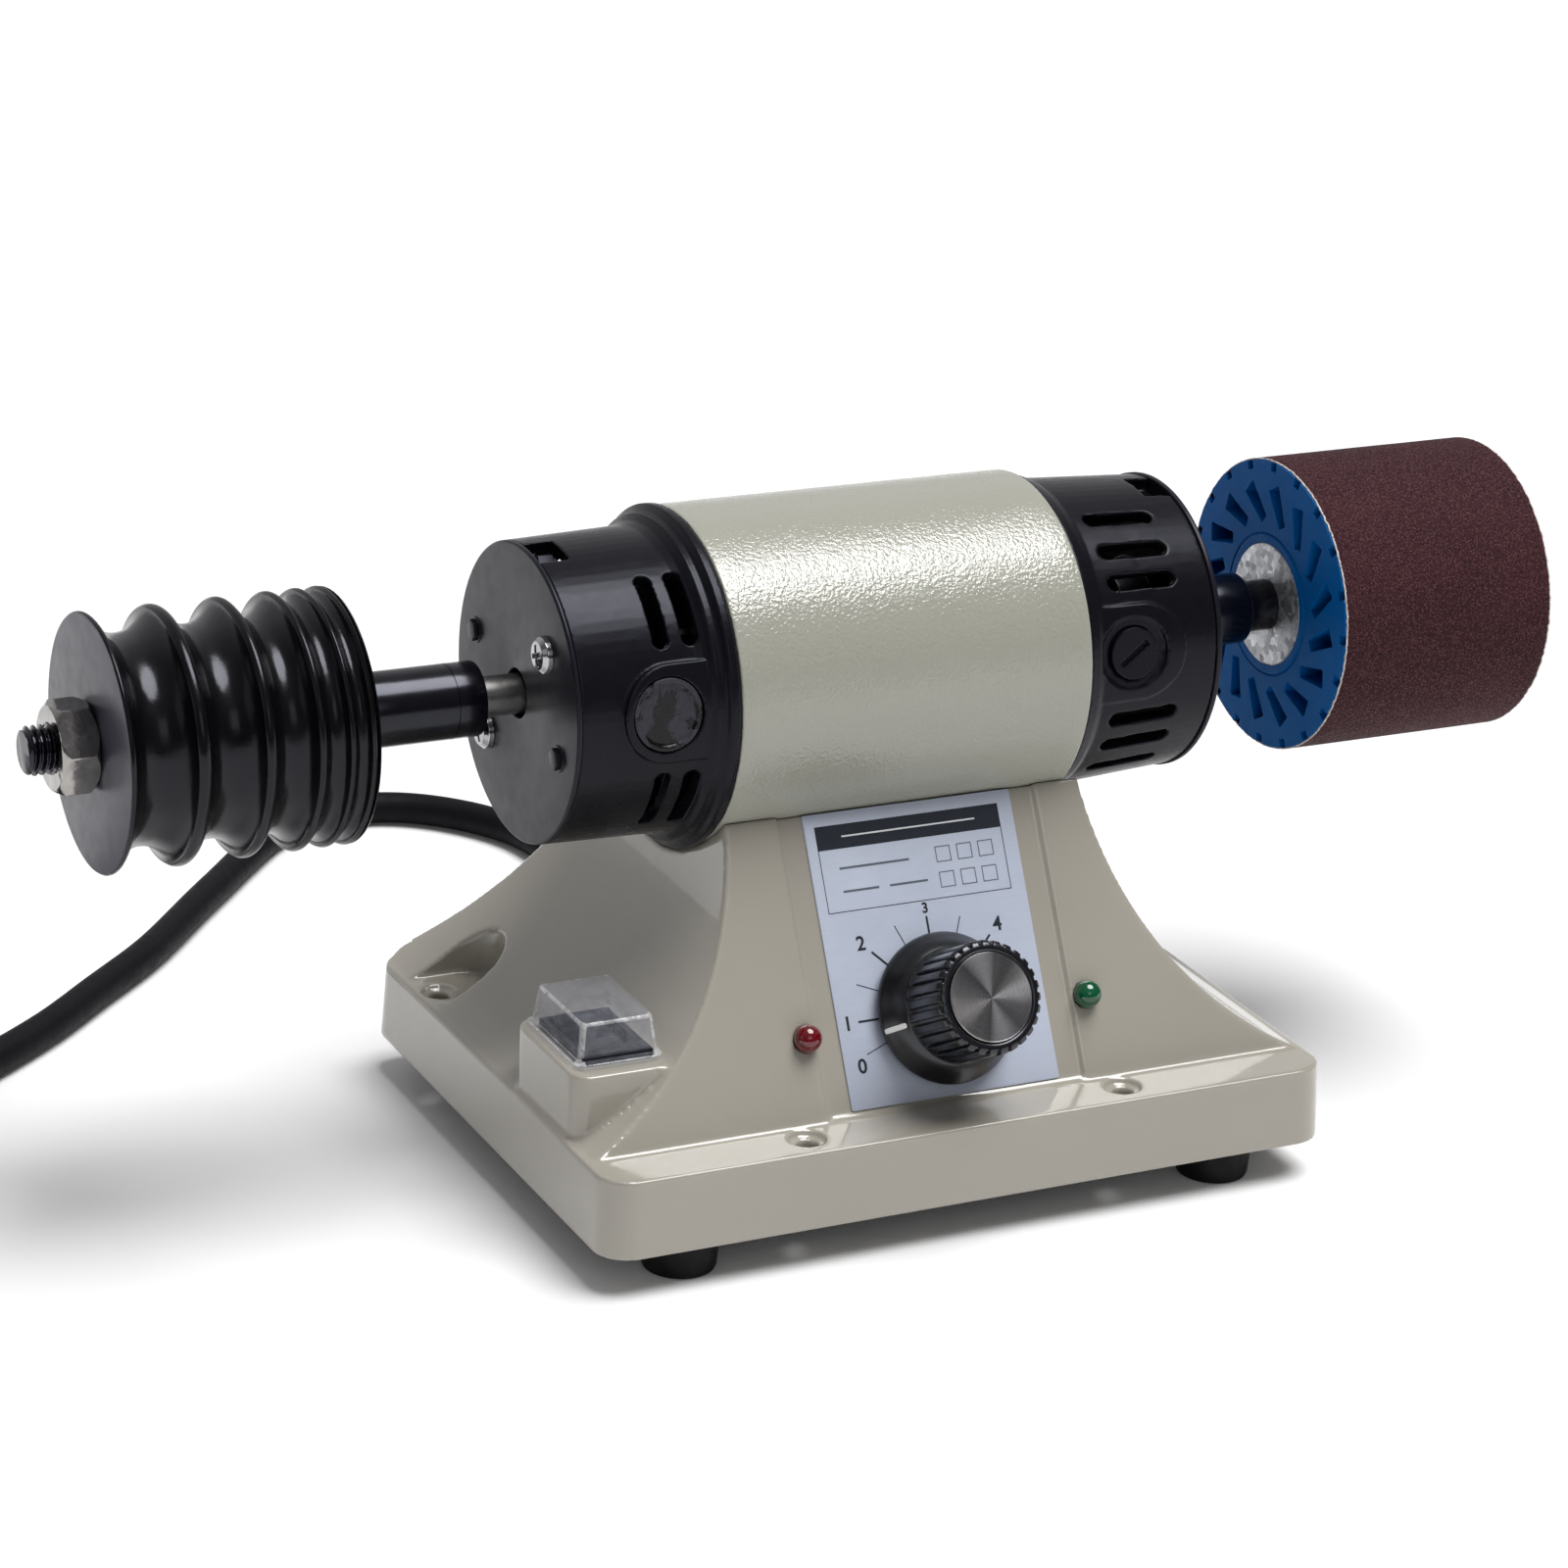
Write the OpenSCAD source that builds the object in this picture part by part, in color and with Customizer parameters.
// Bench-top edge burnisher and drum sander: a double-ended motor on a cast
// pedestal, with a grooved burnishing wheel on one end of the shaft and a
// sanding drum on the other. Millimetres, +X towards the drum, +Y to the back,
// +Z up, z = 0 on the bench.

/* [Base casting] */
// Width of the base at the plate
base_w = 200; // [190:1:215]
// Depth of the base, front to back
base_d = 150; // [146:1:156]
// Height of the top of the plate above the bench
plate_top = 30.3; // [29:0.1:33]
// Height of the rubber feet
foot_h = 10; // [8:0.5:11]
// Diameter of the rubber feet
foot_d = 20; // [16:0.5:24]
// Wall thickness of the casting
wall = 4.5; // [4:0.25:5.5]
// Lean of the front and back faces from vertical, degrees
face_lean = 28.4; // [27:0.2:30]
// Distance between the two front mounting holes
front_holes = 88; // [80:1:96]
// Distance between the two rear mounting holes
rear_holes = 188; // [184:1:190]
// Diameter of the mounting holes
mount_hole_d = 5.5; // [4.5:0.1:6.5]

/* [Motor] */
// Height of the shaft above the bench
shaft_z = 125.1; // [124:0.1:127]
// Shaft position behind the middle of the base
shaft_y = 7.5; // [6:0.5:9]
// Outside diameter of the motor tube
tube_d = 84.8; // [84:0.1:86]
// Motor tube, left end
tube_x0 = -50.5; // [-52:0.5:-49]
// Motor tube, right end
tube_x1 = 46; // [44:0.5:48]
// Diameter of the motor shaft
shaft_d = 10; // [9:0.5:11]

/* [Burnishing wheel] */
// Largest diameter of the grooved wheel
wheel_d = 62.4; // [58:0.2:66]
// Left face of the wheel
wheel_x0 = -200; // [-202:0.5:-198]
// Length of the wheel
wheel_len = 61.5; // [61:0.1:63]
// Diameter of the stud through the wheel
stud_d = 12; // [10:0.5:12]
// Left tip of the stud
stud_x0 = -216; // [-218:0.5:-214]

/* [Sanding drum] */
// Outside diameter of the abrasive sleeve
drum_d = 77; // [75:0.5:80]
// Left face of the drum
drum_x0 = 123; // [122:0.5:124]
// Right face of the drum
drum_x1 = 186; // [184:0.5:188]
// Diameter of the drive sleeves on the shaft
sleeve_d = 18.6; // [17:0.2:20]

/* [Speed control] */
// Sideways position of the knob on the front face
knob_x = 0.8; // [0:0.1:1.5]
// Height of the knob up the front face
knob_s = 23.2; // [22:0.2:25]
// Diameter of the knob skirt
skirt_d = 38; // [34:0.5:40]
// Angle of the pointer at rest, degrees from the right
pointer_a = 191; // [185:1:198]

/* [Mains cable] */
// Diameter of the cable
cable_d = 9.2; // [8:0.2:9.6]
// Middle diameter of the inner coil turns
coil_in = 96; // [92:1:100]

/* [Hidden] */

cx = -(stud_x0 + drum_x1) / 2;      // moves the model so that x = 0 is mid-length
fy = -base_d / 2 + 14;              // foot of the front face
by = 2 * shaft_y - fy;              // foot of the back face
tube_r = tube_d / 2;
clr = 0.05;
fk_th = 90 - face_lean;

cream = "#b9b5a3"; ivory = "#cfcfb9"; black = "#1b1b20"; steel = "#8f9296"; chrome = "#c8cacd";

// everything is drawn in base coordinates and moved to the middle of its length
module place() translate([cx, 0, 0]) children();
// a solid of revolution on the shaft line; points are [radius, x]
module spin(p) translate([0, shaft_y, shaft_z]) rotate([0, 90, 0]) rotate_extrude($fn = 96) polygon(p);
// a cylinder on the shaft line
module xcyl(r, x0, x1) translate([x0, shaft_y, shaft_z]) rotate([0, 90, 0]) cylinder(r = r, h = x1 - x0, $fn = 96);
// local z points out of the shaft line at angle a: 0 is forwards, 90 is up
module at_ang(x, a) translate([x, shaft_y, shaft_z]) rotate([90 - a, 0, 0]) children();
// local z points out of the front face, local y up its slope
module on_face(x = 0, s = 0, h = 0) translate([0, fy, plate_top]) rotate([fk_th, 0, 0]) translate([x, s, h]) children();
module slab(x0, x1, y0, y1, z0, z1) translate([x0, y0, z0]) cube([x1 - x0, y1 - y0, z1 - z0]);
module rslab(w, d, r, z0, z1) {
  translate([-w / 2 + r, -d / 2, z0]) cube([w - 2 * r, d, z1 - z0]);
  translate([-w / 2, -d / 2 + r, z0]) cube([w, d - 2 * r, z1 - z0]);
  for (sx = [-1, 1], sy = [-1, 1]) translate([sx * (w / 2 - r), sy * (d / 2 - r), z0]) cylinder(r = r, h = z1 - z0, $fn = 64);
}

// ---- base ----
flank_x = 130.5; flank_z = 105.5; flank_r = 81.5;
module wedge(inset, zt) {
  // leaning front and back faces, extruded along x
  k = tan(face_lean);
  translate([-130, 0, 0]) rotate([90, 0, 90]) linear_extrude(260)
    polygon([[fy + inset, 12], [by - inset, 12], [by - inset, plate_top],
             [by - inset - (zt - plate_top) * k, zt], [fy + inset + (zt - plate_top) * k, zt], [fy + inset, plate_top]]);
}
module pedestal(inset, zt) intersection() {
  wedge(inset, zt);
  difference() {
    rslab(base_w - 2 * inset, base_d + 0.8 - 2 * inset, max(8.8 - inset, 3), 12, zt);
    for (s = [-1, 1]) translate([s * flank_x, -100, flank_z]) rotate([-90, 0, 0]) cylinder(r = flank_r + inset, h = 200, $fn = 160);
  }
}
boss_x0 = -base_w / 2 + 0.8; boss_r = 5; boss_x1 = -50; boss_y0 = -50.6; boss_y1 = -11.8; boss_z = 47.5;
sw_x = -84.8; sw_y = -31;
module base_casting() color(cream) place() difference() {
  union() {
    rslab(base_w + 1.6, base_d + 1.6, 8.8, foot_h, plate_top);
    difference() { pedestal(0, 104); xcyl(tube_r + 0.1, -70, 70); }
    difference() {
      union() {
        slab(boss_x0 + boss_r, boss_x1, boss_y0, boss_y1, 20, boss_z);
        slab(boss_x0, boss_x0 + 2 * boss_r, boss_y0 + boss_r, boss_y1 - boss_r, 20, boss_z);
        for (y = [boss_y0 + boss_r, boss_y1 - boss_r]) translate([boss_x0 + boss_r, y, 20]) cylinder(r = boss_r, h = boss_z - 20, $fn = 64);
      }
      wedge_front_cut();
    }
  }
  // hollow underside
  difference() {
    union() {
      rslab(base_w - 2 * wall, base_d - 2 * wall, 5, foot_h - 1, plate_top - wall);
      difference() { pedestal(wall, 100); xcyl(tube_r + wall + 1, -80, 80); }
      slab(boss_x0 + wall - 1, -60, boss_y0 + wall - 1, boss_y1 - wall + 1, 22, boss_z - 3);
    }
    for (sx = [-1, 1], sy = [-1, 1]) translate([sx * 75, sy * 62, foot_h + 1.6]) cylinder(d = 12, h = 20, $fn = 48);
    for (s = [-1, 1]) translate([s * front_holes / 2, -67, foot_h + 1.6]) cylinder(d = 13, h = 30, $fn = 48);
    for (s = [-1, 1]) translate([s * rear_holes / 2, 47.5, foot_h + 1.6]) cylinder(d = 13, h = 30, $fn = 48);
    for (s = [-1, 1]) translate([s * 86, 47.5, plate_top - wall]) slab(-14, 14, -13.5, 13.5, 0, 30);
    for (x = [-30, 26]) translate([x, shaft_y, 60]) cylinder(d = 16, h = 40, $fn = 48);
  }
  // shallow panel for the label
  on_face(0.7, 0, -1) translate([-36, 0.8, 0]) cube([72, 90, 6]);
  // clearance for the flange of the left end cap
  xcyl(43.6, -60, tube_x0);
  xcyl(39.8, 40, 60);
  // mounting holes and their spot faces
  for (s = [-1, 1]) translate([s * front_holes / 2, -67, 0]) { cylinder(d = mount_hole_d, h = 60, $fn = 48); translate([0, 0, plate_top - 1.6]) cylinder(d = 9.6, h = 9, $fn = 48); }
  for (s = [-1, 1]) translate([s * rear_holes / 2, 47.5, 0]) {
    cylinder(d = mount_hole_d, h = 60, $fn = 48);
    translate([0, 0, plate_top - 1.2]) cylinder(d = 9.6, h = 9, $fn = 48);
  }
  // scooped pockets round the rear holes
  for (s = [-1, 1]) {
    translate([s * 86, 47.5, plate_top]) cylinder(r = 9.8, h = 40, $fn = 64);
    slab(min(s * 86, s * 112), max(s * 86, s * 112), 47.5 - 9.8, 47.5 + 9.8, plate_top, plate_top + 40);
  }
  // foot screw holes
  for (sx = [-1, 1], sy = [-1, 1]) translate([sx * 75, sy * 62, foot_h]) cylinder(d = 4, h = 13, $fn = 32);
  // switch opening
  slab(sw_x - 9.6, sw_x + 9.6, sw_y - 12.6, sw_y + 12.6, boss_z - 5, boss_z + 2);
  // potentiometer and lamp holes
  on_face(knob_x, knob_s, -20) cylinder(d = 9.4, h = 30, $fn = 48);
  on_face(-37.7, 21.2, -20) cylinder(d = 6, h = 30, $fn = 48);
  on_face(40.6, 21.4, -20) cylinder(d = 6, h = 30, $fn = 48);
  // saddle bolts and the motor lead hole
  for (x = [-30, 26]) translate([x, shaft_y, 58]) cylinder(d = 6.4, h = 40, $fn = 48);
  translate([0, shaft_y, 60]) cylinder(d = 12, h = 40, $fn = 48);
  // cable hole in the back wall
  translate([0, base_d / 2 - 12, 20]) rotate([-90, 0, 0]) cylinder(d = 12, h = 20, $fn = 48);
}
module wedge_front_cut() {   // keeps the switch boss behind the plane of the front face
  k = tan(face_lean);
  translate([-130, 0, 0]) rotate([90, 0, 90]) linear_extrude(260)
    polygon([[fy - 40, 19], [fy, 19], [fy, plate_top], [fy + 60 * k, plate_top + 60], [fy - 40, plate_top + 60]]);
}
module bottom_cover() color("#3a3c40") place() difference() {
  rslab(base_w - 2 * wall - 1, base_d - 2 * wall - 1, 4.6, foot_h + 0.2, foot_h + 1.4);
  for (sx = [-1, 1], sy = [-1, 1]) translate([sx * 75, sy * 62, 0]) cylinder(d = 4.6, h = 30, $fn = 32);
  for (s = [-1, 1]) translate([s * front_holes / 2, -67, 0]) cylinder(d = 7, h = 30, $fn = 48);
  for (s = [-1, 1]) translate([s * rear_holes / 2, 47.5, 0]) cylinder(d = 7, h = 30, $fn = 48);
  for (x = [-40 : 8 : 40]) slab(x - 1.5, x + 1.5, -18, 18, foot_h - 1, foot_h + 3);
}
module rubber_feet() color(black) place() for (sx = [-1, 1], sy = [-1, 1]) translate([sx * 75, sy * 62, 0]) difference() {
  cylinder(r1 = foot_d / 2 - 1, r2 = foot_d / 2, h = foot_h + 0.2, $fn = 64);
  translate([0, 0, -1]) cylinder(d = 10, h = 5, $fn = 48);
  translate([0, 0, -1]) cylinder(d = 4.6, h = 20, $fn = 32);
}
module foot_screws() color(steel) place() for (sx = [-1, 1], sy = [-1, 1]) translate([sx * 75, sy * 62, 0]) difference() {
  union() { translate([0, 0, 1.4]) cylinder(d = 8, h = 2.6, $fn = 48); translate([0, 0, 2]) cylinder(d = 3.9, h = 19, $fn = 32); }
  for (a = [0, 90]) translate([0, 0, 1.4]) rotate([0, 0, a]) translate([-2.4, -0.5, -1]) cube([4.8, 1, 2.2]);
}

// ---- front panel ----
module label_plate() color("#cdd3dc") place() difference() {
  on_face(0.7, 39.7, -1) translate([-29, -37.7, 0]) cube([58, 73.5, 0.5]);
  on_face(knob_x, knob_s, -3) cylinder(d = 9.4, h = 8, $fn = 48);
}
module speed_knob() color(black) place() on_face(knob_x, knob_s, 0) difference() {
  rotate_extrude($fn = 96) polygon([[0, 0.6], [17.6, 0.6], [skirt_d / 2, 1.8], [skirt_d / 2, 3.2], [16.8, 6.6], [14.4, 8.4], [14.2, 25.2], [13.2, 26.4], [0, 26.4]]);
  // flutes
  for (i = [0 : 23]) rotate([0, 0, i * 15 + 7.5]) translate([14.9, 0, 9.4]) cylinder(r = 1.15, h = 20, $fn = 20);
  // seat of the metal disc, shaft hole and set screw hole
  translate([0, 0, 25.6]) cylinder(d = 22.2, h = 3, $fn = 64);
  translate([0, 0, -1]) cylinder(d = 6.1, h = 19, $fn = 48);
  translate([0, 0, -1]) cylinder(d = 13, h = 5.4, $fn = 48);
}
module knob_cap_disc() color(chrome) place() on_face(knob_x, knob_s, 25.6)
  rotate_extrude($fn = 96) polygon([[0, 0], [11.05, 0], [11.05, 0.9], [10.5, 1.4], [0, 1.4]]);
module knob_pointer() color("white") place() on_face(knob_x, knob_s, 0) rotate([0, 0, pointer_a]) intersection() {
  translate([14.6, -0.6, 0]) cube([4.2, 1.2, 9]);
  rotate_extrude($fn = 96) polygon([[14, 8.9], [16.8, 6.68], [skirt_d / 2 - 0.1, 3.45], [skirt_d / 2, 3.6], [16.95, 6.85], [14.2, 9.1]]);
}
module potentiometer_body() color("#5c6064") place() {
  on_face(knob_x, knob_s, -16) cylinder(d = 24, h = 10.4, $fn = 64);
  on_face(knob_x, knob_s, -6) difference() { cylinder(d = 9, h = 7.4, $fn = 48); translate([0, 0, -1]) cylinder(d = 6.1, h = 12, $fn = 48); }
  for (i = [-1, 0, 1]) on_face(knob_x + i * 5 - 1, knob_s - 17, -12) cube([2, 6, 0.8]);
}
module potentiometer_shaft() color(steel) place() on_face(knob_x, knob_s, -5.5) cylinder(d = 6, h = 23, $fn = 48);
module potentiometer_nut() color(chrome) place() on_face(knob_x, knob_s, -0.5) difference() {
  cylinder(d = 12.4, h = 1.6, $fn = 6); translate([0, 0, -1]) cylinder(d = 9.04, h = 5, $fn = 48);
}
module lamp(x, s, c) color(c) place() on_face(x, s, -9) rotate_extrude($fn = 64)
  polygon([[0, 0], [2.9, 0], [2.9, 9], [3.5, 9], [3.5, 9.6], [3.15, 10.2], [2.85, 11.3], [2.1, 12.2], [1.1, 12.7], [0, 12.9]]);
module red_indicator() lamp(-37.7, 21.2, "#b01822");
module green_indicator() lamp(40.6, 21.4, "#0d7a42");

// ---- switch ----
module rocker_switch_frame() color(black) place() difference() {
  union() {
    slab(sw_x - 9.4, sw_x + 9.4, sw_y - 12.4, sw_y + 12.4, boss_z - 16, boss_z + 0.1);
    slab(sw_x - 10.8, sw_x + 10.8, sw_y - 14.6, sw_y + 14.6, boss_z + 0.1, boss_z + 2.2);
  }
  slab(sw_x - 7.6, sw_x + 7.6, sw_y - 11.4, sw_y + 11.4, boss_z - 9, boss_z + 5);
  translate([sw_x - 8.9, sw_y, rk_z]) rotate([0, 90, 0]) cylinder(r = 1.05, h = 17.8, $fn = 32);
}
rk_z = boss_z - 2;
module rocker_paddle() color("#141416") place() {
 translate([sw_x - 8.6, sw_y, rk_z]) rotate([0, 90, 0]) cylinder(r = 1, h = 17.2, $fn = 32);
 intersection() {
  slab(sw_x - 7.2, sw_x + 7.2, -200, 200, 0, 200);
  translate([sw_x, sw_y, rk_z]) rotate([10, 0, 0]) rotate([90, 0, 90]) translate([0, 0, -8]) linear_extrude(16)
    polygon([[-9.8, 3.6], [-9.4, 5.2], [-4, 3.4], [0, 3.0], [4, 3.4], [9.4, 5.2], [9.8, 3.6], [5, -3], [0, -4.6], [-5, -3]]);
 }
}
module switch_cover() color("#c9d4dc", 0.5) place() difference() {
  union() {
    slab(sw_x - 12.4, sw_x + 11.4, sw_y - 17, sw_y + 17, boss_z + 0.1, boss_z + 3.0);
    translate([sw_x, sw_y, boss_z]) rotate([90, 0, 90]) translate([0, 0, -10.6]) linear_extrude(21.2)
      polygon([[-15.6, 2], [-13.6, 11.8], [-13, 12.4], [13, 12.4], [13.6, 11.8], [15.6, 2]]);
  }
  slab(sw_x - 11.0, sw_x + 11.0, sw_y - 14.8, sw_y + 14.8, boss_z - 1, boss_z + 2.4);
  translate([sw_x, sw_y, boss_z]) rotate([90, 0, 90]) translate([0, 0, -9.8]) linear_extrude(19.6)
    polygon([[-14.4, 1], [-12.6, 11.5], [12.6, 11.5], [14.4, 1]]);
}

// ---- motor shell ----
module motor_tube() color(ivory) place() difference() {
  spin([[tube_r - 3, tube_x0], [tube_r - 0.4, tube_x0], [tube_r, tube_x0 + 0.6], [tube_r, tube_x1 - 0.6], [tube_r - 0.4, tube_x1], [tube_r - 3, tube_x1]]);
  for (x = [-30, 26]) translate([x, shaft_y, 70]) cylinder(d = 5, h = 30, $fn = 32);
  translate([0, shaft_y, 70]) cylinder(d = 11, h = 30, $fn = 32);
}
module left_gasket() color("#0c0c0e") place() difference() { xcyl(tube_r - 0.9, tube_x0 - 0.8, tube_x0); xcyl(tube_r - 3.05, tube_x0 - 2, tube_x0 + 1); }
cap_a = 7; capr_a = 9;
module slot_ring(x, w, a0, a1, r0, r1) {
  // slot along the circumference, with round ends
  intersection() {
    difference() { xcyl(r1, x - w / 2, x + w / 2); xcyl(r0, x - w, x + w); }
    translate([x, shaft_y, shaft_z]) rotate([90, 0, 90]) translate([0, 0, -w]) linear_extrude(2 * w)
      polygon([[0, 0], [-r1 * 1.3 * cos(a0), r1 * 1.3 * sin(a0)], [-r1 * 1.4 * cos((a0 + a1) / 2), r1 * 1.4 * sin((a0 + a1) / 2)], [-r1 * 1.3 * cos(a1), r1 * 1.3 * sin(a1)]]);
  }
  for (a = [a0, a1]) at_ang(x, a) translate([0, 0, r0 - 1]) cylinder(d = w + 0.16, h = r1 - r0 + 2, $fn = 32);
}
module slot_axial(a, w, x0, x1, r0, r1) {
  at_ang(0, a) translate([x0 + w / 2, -w / 2, r0]) cube([x1 - x0 - w, w, r1 - r0]);
  for (x = [x0 + w / 2, x1 - w / 2]) at_ang(x, a) translate([0, 0, r0]) cylinder(d = w, h = r1 - r0, $fn = 32);
}
module left_end_cap() color(black) place() difference() {
  union() {
    spin([[37.4, -90.2], [38.2, -60], [39, -57.6], [40.9, -56.4], [40.9, -54.4], [42.9, -53.4], [42.9, tube_x0 - 0.8], [tube_r - 3.1, tube_x0 - 0.8], [tube_r - 3.1, tube_x0 + 6], [tube_r - 5.6, tube_x0 + 6], [34.6, -58], [34.4, -86.5], [16, -86.5], [16, -76.2], [12.95, -76.2], [12.95, -86.2], [8, -86.2], [8, -90.2]]);
    for (k = [0, 180]) {
      // raised pad round the brush opening
      intersection() {
        union() { at_ang(-67.5, cap_a + k) translate([0, 0, 30]) cylinder(r = 12.2, h = 12, $fn = 64); at_ang(-67.5, cap_a + k) translate([0, -12.2, 30]) cube([13, 24.4, 12]); }
        difference() { xcyl(39.4, -84, -55); xcyl(35, -85, -54); }
      }
    }
  }
  for (k = [0, 180]) {
    for (x = [-68, -60.4]) { slot_ring(x, 4, cap_a + 27 + k, cap_a + 51 + k, 30, 42); slot_ring(x, 4, cap_a - 51 + k, cap_a - 27 + k, 30, 42); }
    at_ang(-68.4, cap_a + k) translate([0, 0, 33]) cylinder(d = 18.6, h = 10, $fn = 64);
  }
  // notches at the disk edge, top and bottom
  for (k = [0, 180]) at_ang(-91, 84 + k) translate([0, -5.5, 34]) cube([8.5, 11, 8]);
  for (d = [[-17.2, 15.55], [17.2, -15.55], [26.05, 7.9], [-26.05, -7.9]]) translate([-92, shaft_y + d[0], shaft_z + d[1]]) rotate([0, 90, 0]) cylinder(d = 3.2, h = 6, $fn = 32);
}
module right_end_cap() color(black) place() difference() {
  union() {
    spin([[tube_r - 0.6, tube_x1], [tube_r - 1.6, tube_x1 + 3.4], [39.6, tube_x1 + 5], [37.7, 84.6], [8, 84.6], [8, 80.8], [12.95, 80.8], [12.95, 70.8], [16, 70.8], [16, 81], [34.6, 81], [35, tube_x1 + 4], [tube_r - 5.6, tube_x1 - 6], [tube_r - 3.1, tube_x1 - 6], [tube_r - 3.1, tube_x1]]);
    for (k = [0, 180]) intersection() {
      union() { at_ang(62.4, capr_a + k) translate([0, 0, 30]) cylinder(r = 12.2, h = 12, $fn = 64); at_ang(62.4, capr_a + k) translate([-13, -12.2, 30]) cube([13, 24.4, 12]); }
      difference() { xcyl(39.9, 49.8, 84); xcyl(35.5, 48, 85); }
    }
  }
  for (k = [0, 180]) {
    for (o = [26.5, 39, 54]) { slot_axial(capr_a + o + k, 4, 54.5, 74.5, 30, 42); slot_axial(capr_a - o + k, 4, 54.5, 74.5, 30, 42); }
    at_ang(59.5, capr_a + k) translate([0, 0, 38.6]) cylinder(d = 19, h = 5, $fn = 64);
    at_ang(59.5, capr_a + k) translate([0, 0, 30]) cylinder(d = 13.4, h = 12, $fn = 64);
  }
  for (k = [0, 180]) at_ang(77, 84 + k) translate([0, -5.5, 34]) cube([8.5, 11, 8]);
}
module left_end_disk() color(black) place() difference() {
  spin([[6.2, -91.4], [37, -91.4], [37.4, -91], [37.4, -90.2], [6.2, -90.2]]);
  for (d = [[-17.2, 15.55], [17.2, -15.55], [26.05, 7.9], [-26.05, -7.9]]) translate([-93, shaft_y + d[0], shaft_z + d[1]]) rotate([0, 90, 0]) cylinder(d = 4, h = 6, $fn = 32);
}
module right_end_disk() color(black) place() difference() { xcyl(38.1, 84.6, 86); xcyl(9.9, 84, 87); }
module pan_screw(y, z, d, hh) translate([-91.4, shaft_y + y, shaft_z + z]) rotate([0, -90, 0]) difference() {
  union() {
    rotate_extrude($fn = 48) polygon([[0, 0], [d / 2, 0], [d / 2 - 0.2, hh * 0.5], [d / 2 - 1.2, hh * 0.88], [0, hh]]);
    translate([0, 0, -5]) cylinder(d = 3, h = 5.5, $fn = 32);
  }
  for (a = [20, 110]) rotate([0, 0, a]) translate([-2.6, -0.55, hh - 1.2]) cube([5.2, 1.1, 3]);
}
module disk_screws_chrome() color(chrome) place() { pan_screw(-17.2, 15.55, 9.4, 2.8); pan_screw(17.2, -15.55, 9.4, 2.8); }
module disk_screws_black() color(black) place() for (d = [[26.05, 7.9], [-26.05, -7.9]])
  translate([-91.4, shaft_y + d[0], shaft_z + d[1]]) rotate([0, -90, 0]) { cylinder(d = 6, h = 2.4, $fn = 6); translate([0, 0, -4.5]) cylinder(d = 3, h = 5, $fn = 32); }
module knockout_plugs() color(black) place() for (k = [0, 180]) at_ang(-68.4, cap_a + k)
  difference() { union() { translate([0, 0, 31.8]) cylinder(d = 18, h = 7, $fn = 64); translate([0, 0, 31.8]) cylinder(d = 21.4, h = 1, $fn = 64); } translate([0, 0, 38.2]) cylinder(d = 15.4, h = 2, $fn = 64); }
module brush_caps() color(black) place() for (k = [0, 180]) at_ang(59.5, capr_a + k) difference() {
  union() { translate([0, 0, 32.4]) cylinder(d = 13.2, h = 6.6, $fn = 64); translate([0, 0, 38.7]) cylinder(d = 13.2, h = 1.1, $fn = 64); }
  rotate([0, 0, 35]) translate([-4.6, -0.8, 38.6]) cube([9.2, 1.6, 3]);
}
module brush_holders() color("#b08d3c") place() for (k = [0, 180]) at_ang(59.5, capr_a + k) translate([0, 0, 19.5]) difference() {
  translate([-4.5, -4.5, 0]) cube([9, 9, 12.8]); translate([-3.3, -3.3, -1]) cube([6.6, 6.6, 20]);
}
module carbon_brushes() color("#2b2b2e") place() for (k = [0, 180]) at_ang(59.5, capr_a + k) translate([-3.2, -3.2, 16.6]) cube([6.4, 6.4, 8.4]);
module brush_springs() color(steel) place() for (k = [0, 180]) at_ang(59.5, capr_a + k) translate([0, 0, 25]) difference() { cylinder(d = 5.6, h = 7.4, $fn = 32); translate([0, 0, -1]) cylinder(d = 4.2, h = 10, $fn = 32); }
module field_magnets() color("#3d3d42") place() difference() {
  xcyl(tube_r - 3, -34, 30);
  xcyl(28.6, -35, 31);
  for (k = [0, 180]) at_ang(0, 90 + k) translate([-40, -10, 0]) cube([80, 20, 60]);
}

// ---- rotor ----
module motor_shaft() color(steel) place() xcyl(shaft_d / 2, -126, 112);
module armature_core() color("#6c6f73") place() difference() {
  xcyl(27.8, -30, 26); xcyl(shaft_d / 2, -31, 27);
  for (i = [0 : 11]) at_ang(0, i * 30 + 5) translate([-31, -1.4, 19]) cube([58, 2.8, 12]);
}
module armature_windings() color("#a8562a") place() {
  difference() { spin([[12, -42], [24, -42], [26, -40], [26, -32], [24, -30], [12, -30]]); xcyl(7, -50, -20); }
  difference() { spin([[12, 26], [24, 26], [26, 28], [26, 38], [24, 40], [12, 40]]); xcyl(7, 20, 50); }
}
module commutator() color("#b87333") place() difference() {
  xcyl(16.2, 50, 67.5); xcyl(shaft_d / 2, 49, 69);
  for (i = [0 : 23]) at_ang(0, i * 15) translate([49, -0.3, 15.2]) cube([20, 0.6, 3]);
}
module cooling_fan() color("#2a2b30") place() difference() {
  union() {
    spin([[shaft_d / 2, -56], [31, -56], [31, -54.6], [9, -54.6], [9, -48], [shaft_d / 2, -48]]);
    for (i = [0 : 8]) at_ang(0, i * 40) translate([-62, -0.8, 10]) cube([6.5, 1.6, 21]);
    spin([[shaft_d / 2, -64], [11, -64], [11, -55], [shaft_d / 2, -55]]);
  }
}
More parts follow.
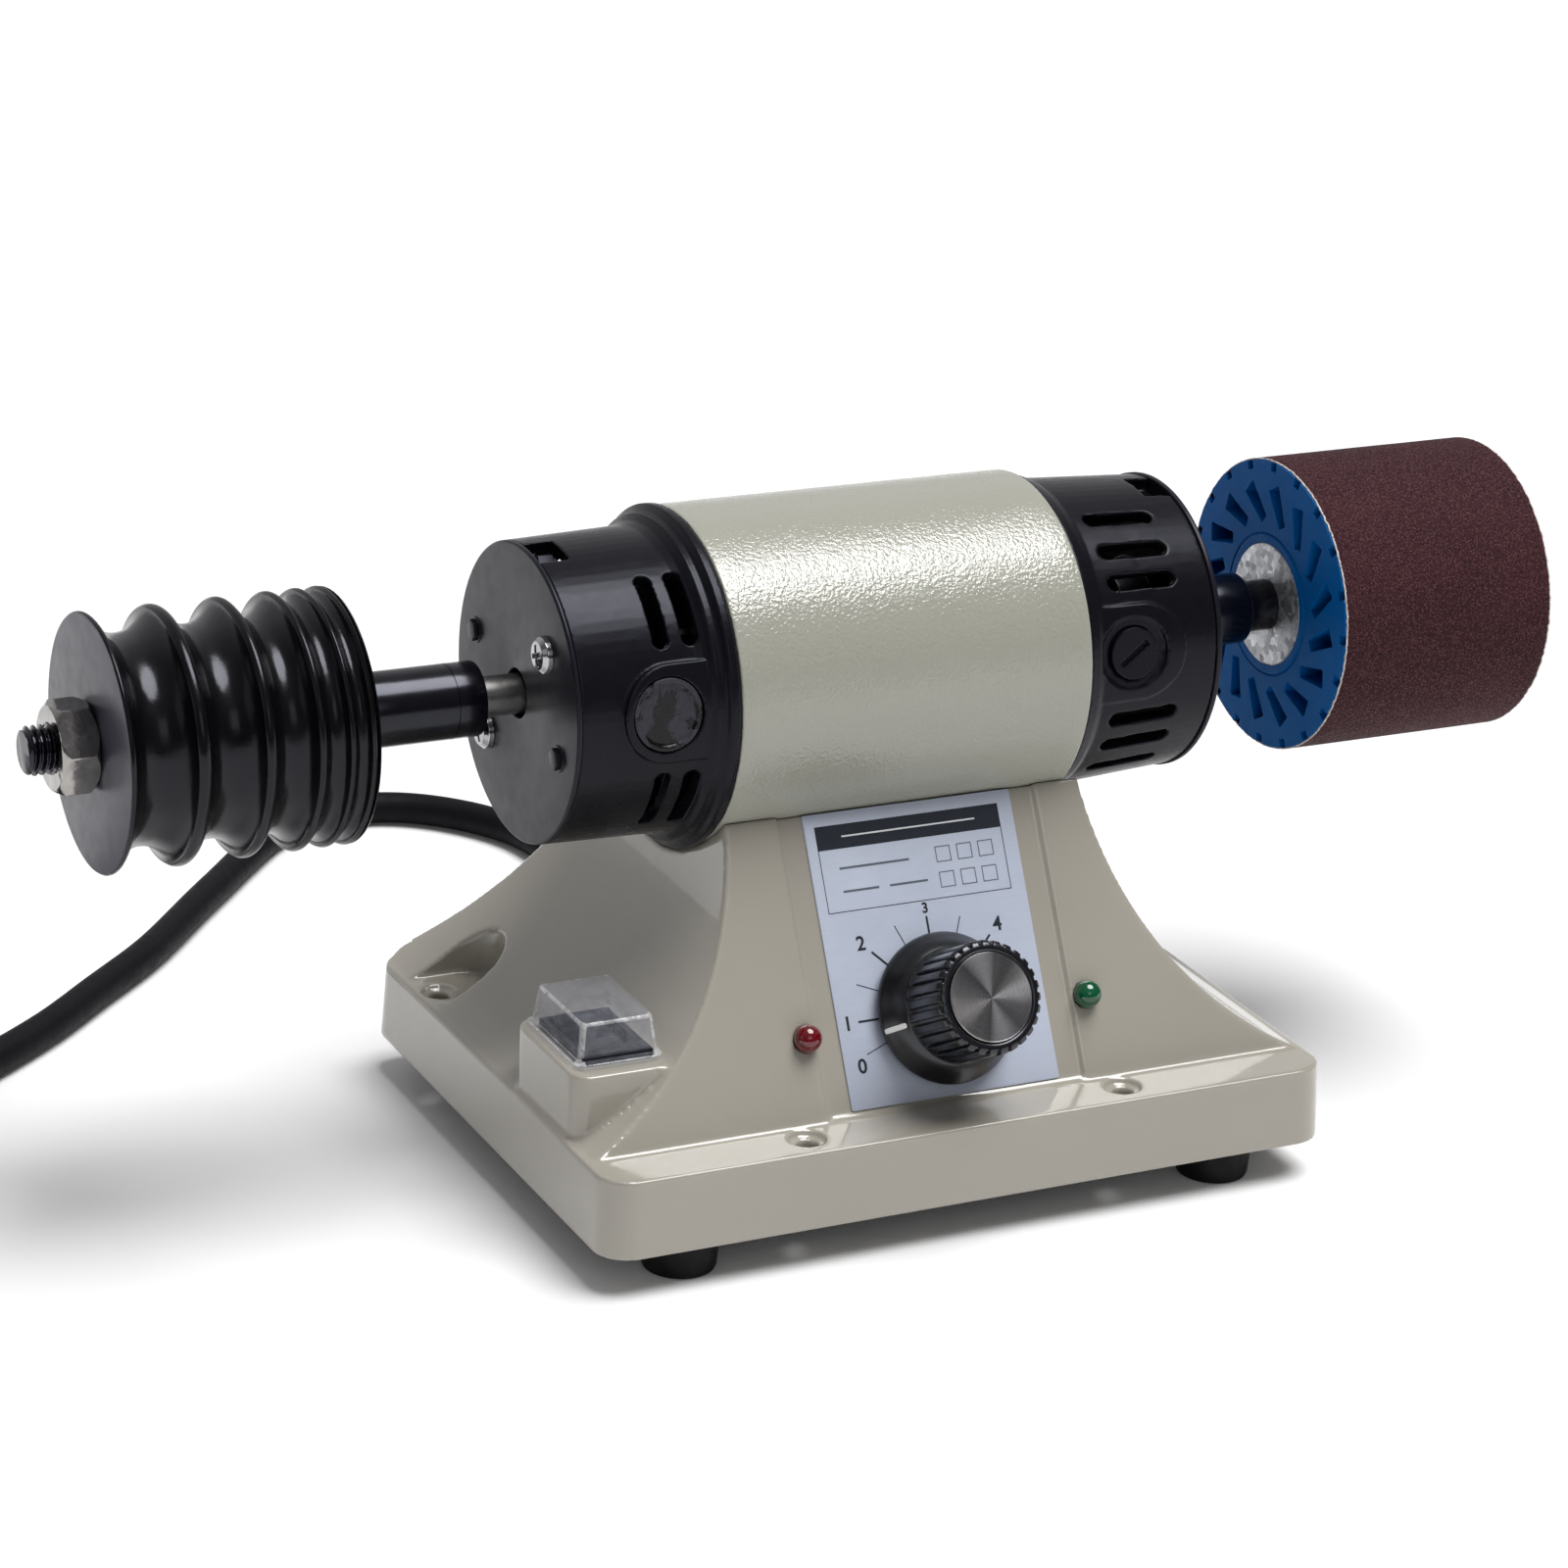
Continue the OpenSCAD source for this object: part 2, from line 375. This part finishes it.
module ring_bearing(x0, x1) difference() {
  spin([[shaft_d / 2 + clr, x0], [12.9, x0], [12.9, x1], [shaft_d / 2 + clr, x1]]);
  spin([[7.6, x0 - 1], [10.6, x0 - 1], [10.6, x0 + 0.8], [7.6, x0 + 0.8]]);
  spin([[7.6, x1 - 0.8], [10.6, x1 - 0.8], [10.6, x1 + 1], [7.6, x1 + 1]]);
}
module left_bearing() color(chrome) place() ring_bearing(-86.2, -77.2);
module right_bearing() color(chrome) place() ring_bearing(71.8, 80.8);

// ---- arbors and tools ----
wheel_x1 = wheel_x0 + wheel_len;
module left_arbor() color(black) place() difference() {
  spin([[0, stud_x0], [stud_d / 2 - 1.2, stud_x0], [stud_d / 2, stud_x0 + 1.2], [stud_d / 2, wheel_x1], [sleeve_d / 2 - 0.4, wheel_x1],
        [sleeve_d / 2, wheel_x1 + 0.4], [sleeve_d / 2, -110.3], [sleeve_d / 2 - 0.25, -110.2], [sleeve_d / 2 - 0.25, -109.8], [sleeve_d / 2, -109.7], [sleeve_d / 2, -103], [sleeve_d / 2 - 0.6, -102.4], [shaft_d / 2, -102.4],
        [shaft_d / 2, -126], [0, -126]]);
  for (x = [-120, -108]) at_ang(x, 160) cylinder(d = 5, h = 20, $fn = 32);
  // thread grooves of the stud
  for (i = [0 : 3]) spin([[stud_d / 2 - 0.9, stud_x0 + 1.9 + i * 1.75], [stud_d / 2 + 1, stud_x0 + 1.2 + i * 1.75], [stud_d / 2 + 1, stud_x0 + 2.6 + i * 1.75]]);
}
module right_arbor() color(black) place() difference() {
  spin([[shaft_d / 2, 88.2], [sleeve_d / 2, 88.2], [sleeve_d / 2, 112.6], [sleeve_d / 2 - 0.8, 113.6], [6.7, 113.6], [6.7, 122.2], [6, 122.2], [6, 185], [5, 186], [0, 186], [0, 112], [shaft_d / 2, 112]]);
  for (x = [95, 106]) at_ang(x, 160) cylinder(d = 5, h = 20, $fn = 32);
}
module arbor_set_screws() color(steel) place() for (x = [-120, -108, 95, 106]) at_ang(x, 160) translate([0, 0, shaft_d / 2]) difference() {
  cylinder(d = 5, h = 4, $fn = 32); translate([0, 0, 2]) cylinder(d = 2.9, h = 4, $fn = 6);
}
// lobed profile: round-bottomed grooves between rounded lands
function arc_pts(x0, x1, depth, n) = [for (i = [0 : n]) let (t = i / n, x = x0 + (x1 - x0) * t)
  [wheel_d / 2 - depth * pow(max(0, 1 - pow(abs(2 * t - 1), 2.2)), 0.6), x]];
module burnishing_wheel() color("#121214") place() spin(concat(
  [[stud_d / 2, wheel_x0], [wheel_d / 2 - 0.3, wheel_x0], [wheel_d / 2, wheel_x0 + 0.3], [wheel_d / 2, wheel_x0 + 1.6]],
  arc_pts(wheel_x0 + 1.7, wheel_x0 + 16.8, 5.9, 20),
  [[wheel_d / 2 - 0.1, wheel_x0 + 17.4], [wheel_d / 2, wheel_x0 + 18.6]],
  arc_pts(wheel_x0 + 19.4, wheel_x0 + 33.2, 5.6, 18),
  [[wheel_d / 2, wheel_x0 + 34.6]],
  arc_pts(wheel_x0 + 35.4, wheel_x0 + 46.2, 5.0, 16),
  [[wheel_d / 2, wheel_x0 + 47.4]],
  arc_pts(wheel_x0 + 48, wheel_x0 + 53.6, 2.9, 12),
  [[wheel_d / 2, wheel_x0 + 54.6]],
  arc_pts(wheel_x0 + 55.2, wheel_x0 + 59, 2.3, 10),
  [[wheel_d / 2, wheel_x0 + 59.8], [wheel_d / 2, wheel_x1 - 0.4], [wheel_d / 2 - 0.4, wheel_x1], [stud_d / 2, wheel_x1]]));
module hexnut(x0, x1, af, bore, a) difference() {
  intersection() {
    translate([x0, shaft_y, shaft_z]) rotate([a, 0, 0]) rotate([0, 90, 0]) cylinder(d = af / cos(30), h = x1 - x0, $fn = 6);
    spin([[0, x0], [af / 2 - 0.3, x0], [af / 2 + 2, x0 + 1.6], [af / 2 + 2, x1 - 1.6], [af / 2 - 0.3, x1], [0, x1]]);
  }
  xcyl(bore / 2, x0 - 1, x1 + 1);
}
module wheel_nut() color(chrome) place() hexnut(wheel_x0 - 9.6, wheel_x0, 20.6, stud_d, -33);
module drum_hub() color("#b9bcc2") place() difference() {
  spin([[6, 122.2], [16, 122.2], [16.3, 122.5], [16.3, 185.4], [14, 185.4], [14, 177], [6, 177]]);
}
core_r = drum_d / 2 - 0.9;
module drum_core() color("#11629c") place() difference() {
  spin([[16.3, 122.6], [18.3, 122.6], [18.5, 123.0], [18.9, 123.0], [19.1, 122.4], [36.6, 122.4], [core_r, 123], [core_r, 185.4], [16.3, 185.4]]);
  for (i = [0 : 15]) at_ang(122, i * 22.5 + 4) translate([0, -3.6, 26.6]) rotate([-26, 0, 0]) translate([-1, -2, -4.9]) cube([9, 4, 9.8]);
  for (i = [0 : 19]) at_ang(122, i * 18 + 3) translate([-1, -1.1, core_r - 2.1]) cube([8, 2.2, 4]);
}
module sanding_sleeve() color("#5a3a3c") place() difference() { xcyl(drum_d / 2, drum_x0, drum_x1 - 0.4); xcyl(core_r, drum_x0 - 1, drum_x1 + 1); }
module drum_nut() color(chrome) place() hexnut(177, 184.4, 19, 12, 10);

// ---- electrics in the base ----
module control_board() color("#2f5d3a") place() { slab(-34, 34, 24, 58, 27, 28.6); slab(-30, -18, 44, 54, 28.6, 34); slab(-12, 2, 46, 54, 28.6, 36); slab(12, 22, 28, 36, 28.6, 33); for (x = [-30, 30], y = [28, 54]) slab(x - 2, x + 2, y - 2, y + 2, foot_h + 1.4, 27); }
module heat_sink() color("#9aa0a6") place() { slab(6, 26, 40, 42, 28.7, 50); for (i = [0 : 5]) slab(6 + i * 3.6, 7.4 + i * 3.6, 42, 50, 28.7, 50); }
module filter_capacitor() color("#2c3f78") place() translate([-22, 34, 28.7]) cylinder(d = 14, h = 26, $fn = 48);
module motor_saddle_bolts() color(steel) place() for (x = [-30, 26]) translate([x, shaft_y, 54]) { translate([0, 0, 1.8]) cylinder(d = 10, h = 4, $fn = 6); translate([0, 0, 5]) cylinder(d = 4.9, h = 24, $fn = 32); }

// ---- mains cable ----
cr = cable_d / 2;
exit_y = base_d / 2 + 0.8;
module cable_strain_relief() color(black) place() translate([0, exit_y, 20]) rotate([-90, 0, 0]) {
  difference() {
    rotate_extrude($fn = 64) polygon([[cr, -9], [5.95, -9], [5.95, 0], [8.6, 0], [8.6, 2.4], [7.6, 4], [7.2, 6], [cr + 0.6, 32], [cr, 32]]);
    for (i = [0 : 4], k = [0, 180]) rotate([0, 0, k + 90 * (i % 2)]) translate([-10, 0.6 + cr, 8 + i * 4.6]) cube([20, 10, 1.8]);
  }
}
// route of the cable from the strain relief to the coil, in base coordinates
coil_c = [-267, 122];
coil_ro = coil_in / 2 + cable_d;    // middle radius of the outer turns
route = [[0, 98, 20], [0, 108, 20], [0, 120, 18.6], [0, 134, 13.6], [0, 148, 7.6], [0, 162, 4.9], [0, 176, 4.7], [-1, 191, 4.7],
  [-4, 206, 4.7], [-12, 220, 4.7], [-23, 231, 4.7], [-35, 237, 4.7], [-48, 238, 4.7], [-61, 235, 4.7], [-73, 226, 4.7], [-86, 212, 4.7],
  [-98, 198, 4.7], [-111, 183, 4.7], [-134, 156, 4.7], [-156, 135, 4.7], [-175, 117, 4.7], [-194, 102, 4.7], [-214, 88, 4.7], [-235, 75, 4.7], [-246, 69, 4.7]];
function cr_pt(a, b, c, d, t) = 0.5 * ((2 * b) + (c - a) * t + (2 * a - 5 * b + 4 * c - d) * t * t + (3 * b - a - 3 * c + d) * t * t * t);
function at(i) = route[max(0, min(len(route) - 1, i))];
function path(k) = [for (i = [1 : len(route) - 3], j = [0 : k - 1]) cr_pt(at(i - 1), at(i), at(i + 1), at(i + 2), j / k)];
function unit(v) = v / norm(v);
module sweep_tube(p, r, n) {
  m = len(p);
  pts = [for (i = [0 : m - 1]) let (d = unit(p[min(m - 1, i + 1)] - p[max(0, i - 1)]), s = unit(cross([0, 0, 1], d)), u = cross(d, s))
    for (j = [0 : n - 1]) p[i] + r * (cos(j * 360 / n) * s + sin(j * 360 / n) * u)];
  polyhedron(points = pts, faces = concat(
    [for (i = [0 : m - 2], j = [0 : n - 1]) let (a = i * n + j, b = i * n + (j + 1) % n) [a, a + n, b + n, b]],
    [[for (j = [0 : n - 1]) j]], [[for (j = [n - 1 : -1 : 0]) (m - 1) * n + j]]), convexity = 6);
}
module mains_cable() color("#1a1a1c") place() sweep_tube(concat(path(2), [at(len(route) - 2)]), cr, 12);
module mains_cable_coil() color("#1a1a1c") place() translate([coil_c[0], coil_c[1], 0.05]) rotate_extrude($fn = 96)
  translate([coil_in / 2 - cr, 0]) square([cable_d * 2, cable_d * 2]);
module cable_tail() color("#1a1a1c") place() translate([coil_c[0] - coil_ro, coil_c[1] + 24, 13.4]) rotate([-90, 0, 0]) cylinder(d = cable_d, h = 26, $fn = 32);
module cable_tie() color("#0f0f11") place() translate([coil_c[0], coil_c[1], 0]) rotate([0, 0, 240]) translate([coil_in / 2 - cr - 1.3, -2.2, 0]) difference() {
  cube([cable_d * 2 + 2.6, 4.4, cable_d * 2 + 1.6]); translate([1.2, -1, -1]) cube([cable_d * 2 + 0.2, 7, cable_d * 2 + 1.5]);
}
plug_y = coil_c[1] + 50;
module mains_plug() color(black) place() translate([coil_c[0] - coil_ro, plug_y, 13]) rotate([-90, 0, 0])
  rotate_extrude($fn = 64) polygon([[0, 0], [6.4, 0], [7.4, 12], [8, 13], [11.6, 16], [12.8, 22], [12.8, 36.4], [12.2, 37], [0, 37]]);
module plug_pins() color(chrome) place() for (s = [-1, 1]) translate([coil_c[0] - coil_ro + s * 7, plug_y + 37, 13]) rotate([-90, 0, 0]) cylinder(d = 4.8, h = 19, $fn = 32);

base_casting();
bottom_cover();
rubber_feet();
foot_screws();
label_plate();
speed_knob();
knob_cap_disc();
knob_pointer();
potentiometer_body();
potentiometer_shaft();
potentiometer_nut();
red_indicator();
green_indicator();
rocker_switch_frame();
rocker_paddle();
switch_cover();
motor_tube();
left_gasket();
left_end_cap();
right_end_cap();
left_end_disk();
right_end_disk();
disk_screws_chrome();
disk_screws_black();
brush_caps();
knockout_plugs();
brush_holders();
carbon_brushes();
brush_springs();
field_magnets();
motor_shaft();
armature_core();
armature_windings();
commutator();
cooling_fan();
left_bearing();
right_bearing();
left_arbor();
right_arbor();
arbor_set_screws();
burnishing_wheel();
wheel_nut();
drum_hub();
drum_core();
sanding_sleeve();
drum_nut();
control_board();
heat_sink();
filter_capacitor();
motor_saddle_bolts();
cable_strain_relief();
mains_cable();
mains_cable_coil();
cable_tail();
cable_tie();
mains_plug();
plug_pins();
